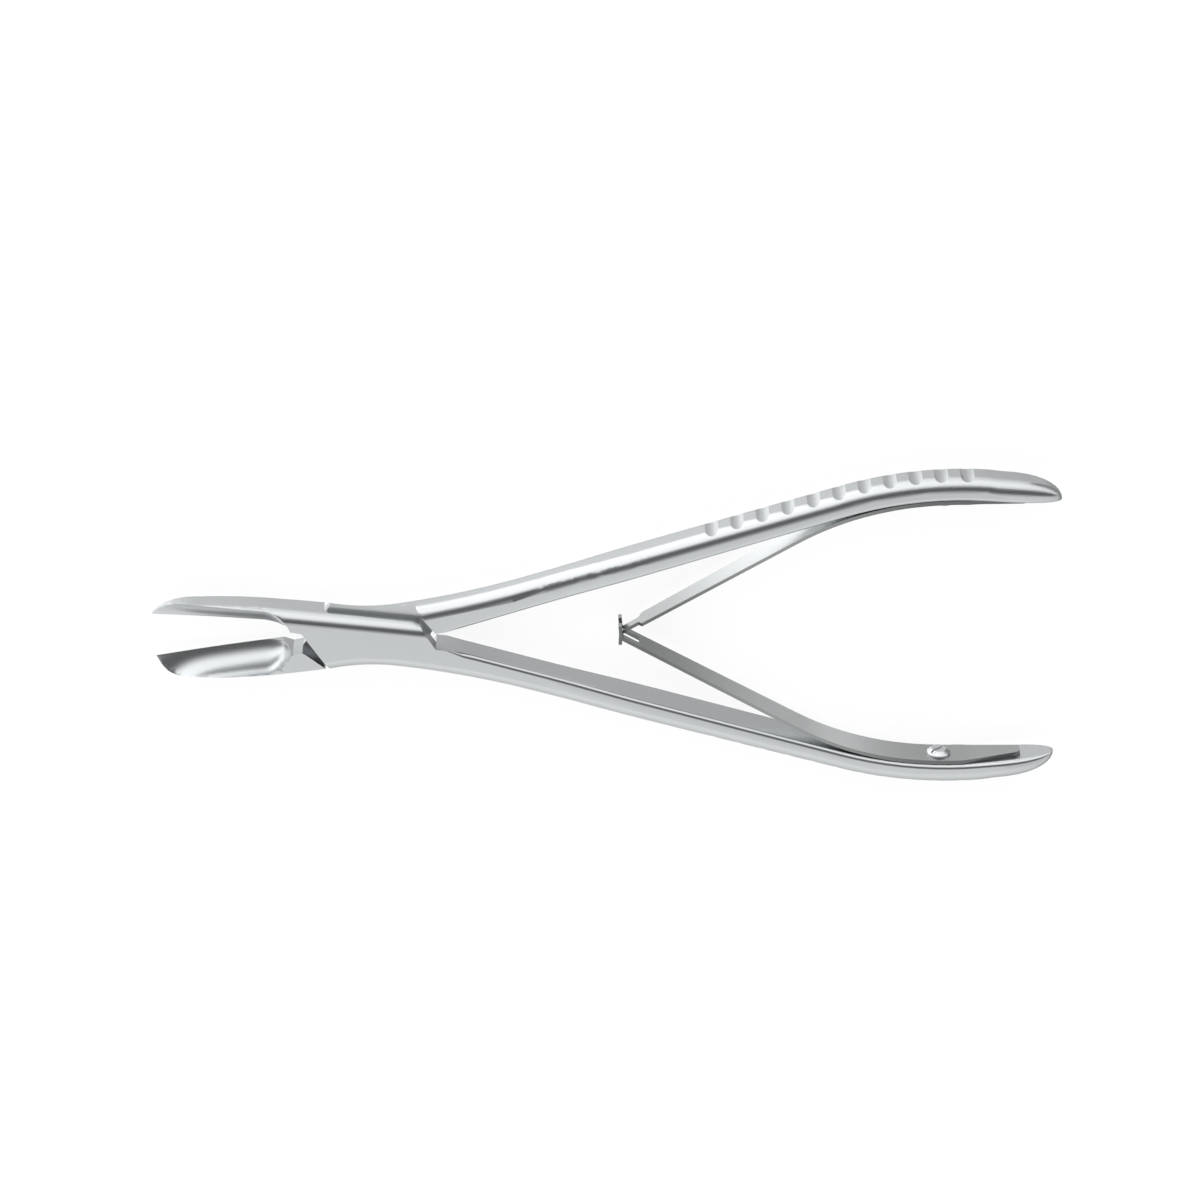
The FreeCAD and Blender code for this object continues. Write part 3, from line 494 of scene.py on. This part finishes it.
class FORCEPS_OT_leaves(bpy.types.Operator):
    """Model the two leaf springs as single strips"""

    bl_idname = "forceps.leaves"
    bl_label = "Leaf springs"

    def execute(self, context):
        steel = context.scene.forceps_steel
        # The leaves' colour carries a painted reflection: lighter along their middle stretch, darker towards
        # both ends.
        material = satin_steel("spring_satin", steel.spring_colour, steel.roughness, steel.grain_length,
                               cut_edges=0.6, painted_reflection=PAINTED_REFLECTION_STRETCH)
        for side, handle, leaf in (("lower", "front_member", "lower_leaf"),
                                   ("upper", "rear_member", "upper_leaf")):
            node = side + "_leaf_spring"
            piece = welded_copy(node, node + "_strip")
            finish_faces(piece, steel.edge_break * 0.6)
            dress(piece, material)
            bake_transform(piece)
            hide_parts(node)
        return {"FINISHED"}


class FORCEPS_OT_studio(bpy.types.Operator):
    """Set up the pale floor, the soft lights and the camera"""

    bl_idname = "forceps.studio"
    bl_label = "Studio"

    def execute(self, context):
        studio = context.scene.forceps_studio
        scene = context.scene
        scene.view_settings.view_transform = "Standard"

        bpy.ops.object.select_all(action="DESELECT")
        bpy.ops.mesh.primitive_plane_add(size=6.0, location=(0, 0, -0.0002))
        floor = context.object
        floor.name = "floor"
        bpy.ops.object.transform_apply(location=True)
        material = bpy.data.materials.new("floor_white")
        shader = Shader(material)
        seen = shader.node("ShaderNodeLightPath", output="Is Camera Ray")
        for ray in ("Is Glossy Ray", "Is Transmission Ray"):
            seen = seen.maths("MAXIMUM", seen, shader.node("ShaderNodeLightPath", output=ray))
        plain = shader.node("ShaderNodeBsdfDiffuse", {}, [(0.8, 0.8, 0.8, 1.0)])
        glow = shader.node("ShaderNodeEmission", {}, [(1.0, 1.0, 1.0, 1.0), studio.floor_glow])
        lifted = shader.node("ShaderNodeAddShader", {}, [plain, glow])
        mixed = shader.node("ShaderNodeMixShader", {}, [seen, plain, lifted])
        glass = shader.node("ShaderNodeBsdfTransparent")
        table = shader.node("ShaderNodeMixShader", {}, [studio.glass_share, mixed, glass])
        shader.node("ShaderNodeOutputMaterial", {}, [table])
        dress(floor, material)

        tilt, distance = studio.camera_tilt, studio.camera_distance
        back = Vector((0, math.sin(tilt), math.cos(tilt)))
        up = Vector((0, math.cos(tilt), -math.sin(tilt)))
        right = up.cross(back)
        roll = studio.camera_roll
        side = right * math.cos(roll) - up * math.sin(roll)
        top = right * math.sin(roll) + up * math.cos(roll)
        aim = PIVOT + Vector((studio.aim_along, studio.aim_across, 0))
        data = bpy.data.cameras.new("camera")
        data.sensor_width = 36.0
        data.lens = data.sensor_width * distance / studio.picture_width
        camera = bpy.data.objects.new("camera", data)
        scene.collection.objects.link(camera)
        turn = Matrix((side, top, back)).transposed().to_4x4()
        camera.matrix_world = Matrix.Translation(aim + back * distance) @ turn
        data.clip_start = 0.01
        scene.camera = camera

        world = bpy.data.worlds.new("studio")
        scene.world = world
        shader = Shader(world)
        place = shader.node("ShaderNodeTexCoord")
        parts = place.node_parts()
        around = parts[1].maths("ARCTAN2", parts[1], parts[2]) / (2 * math.pi) + 0.5
        dome = shader.node("ShaderNodeValToRGB", {"stops": SKY}, [around])
        above = 1.0 - 0.25 * parts[0]
        under = UNDER_GAIN * shader.node("ShaderNodeValToRGB", {"stops": UNDER}, [parts[0] * 0.5 + 0.5])
        depth = shader.node("ShaderNodeClamp", {}, [parts[2] * -3.0])
        sideways = depth * under + (1.0 - depth) * above
        tinted = shader.node("ShaderNodeMix", {"data_type": "RGBA", "blend_type": "MULTIPLY"},
                             {"Factor": 1.0, "A": dome, "B": sideways}, output=2)
        shade = shader.node("ShaderNodeBackground", {}, [tinted, studio.dome_light])
        white = shader.node("ShaderNodeBackground", {}, [(1.0, 1.0, 1.0, 1.0), 1.0])
        seen = shader.node("ShaderNodeLightPath", output="Is Camera Ray")
        both = shader.node("ShaderNodeMixShader", {}, [seen, shade, white])
        shader.node("ShaderNodeOutputWorld", {}, [both])
        return {"FINISHED"}


class FORCEPS_PT_panel(bpy.types.Panel):
    """Lists the pieces in the sidebar"""

    bl_label = "Bone cutting forceps"
    bl_idname = "FORCEPS_PT_panel"
    bl_space_type = "VIEW_3D"
    bl_region_type = "UI"
    bl_category = "Forceps"

    def draw(self, context):
        for operator in OPERATORS:
            self.layout.operator(operator.bl_idname)
        for group in (context.scene.forceps_steel, context.scene.forceps_studio):
            box = self.layout.box()
            for name in group.__annotations__:
                box.prop(group, name)


OPERATORS = (FORCEPS_OT_halves, FORCEPS_OT_screws, FORCEPS_OT_leaves, FORCEPS_OT_studio)
CLASSES = (ForcepsSteel, ForcepsStudio, *OPERATORS, FORCEPS_PT_panel)


def register():
    for item in CLASSES:
        bpy.utils.register_class(item)
    bpy.types.Scene.forceps_steel = PointerProperty(type=ForcepsSteel)
    bpy.types.Scene.forceps_studio = PointerProperty(type=ForcepsStudio)


def unregister():
    del bpy.types.Scene.forceps_studio
    del bpy.types.Scene.forceps_steel
    for item in reversed(CLASSES):
        bpy.utils.unregister_class(item)


def main():
    register()
    bpy.ops.forceps.halves()
    bpy.ops.forceps.screws()
    bpy.ops.forceps.leaves()
    bpy.ops.forceps.studio()


if __name__ == "__main__":
    main()
